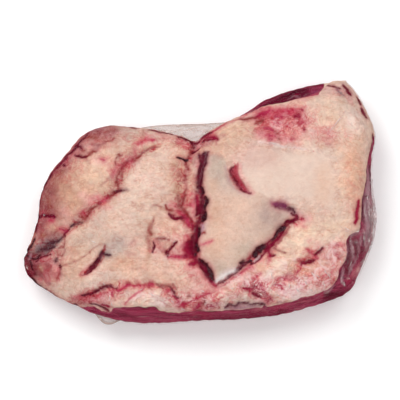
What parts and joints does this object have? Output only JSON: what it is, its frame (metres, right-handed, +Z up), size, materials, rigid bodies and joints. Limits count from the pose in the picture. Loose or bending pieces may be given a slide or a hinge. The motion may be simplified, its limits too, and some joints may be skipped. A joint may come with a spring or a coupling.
{
  "type": "vacuum-packed raw beef shoulder",
  "caption": "Boneless raw beef shoulder, a low lobed slab of muscles under a fat cap with seams and a torn-edged membrane, held tight in clear film.",
  "frame": {"origin": "middle of the pack's box, on the table that it lies on", "axes": "+X along the length, away from the shank end, +Y away from the long front edge, +Z up, through the fat side"},
  "size_m": [0.3967, 0.2784, 0.0964],
  "materials": {
    "beef": "moist",
    "film": "glossy"
  },
  "bodies": {
    "root": {"beef_shoulder": "beef"}
  },
  "joints": []
}
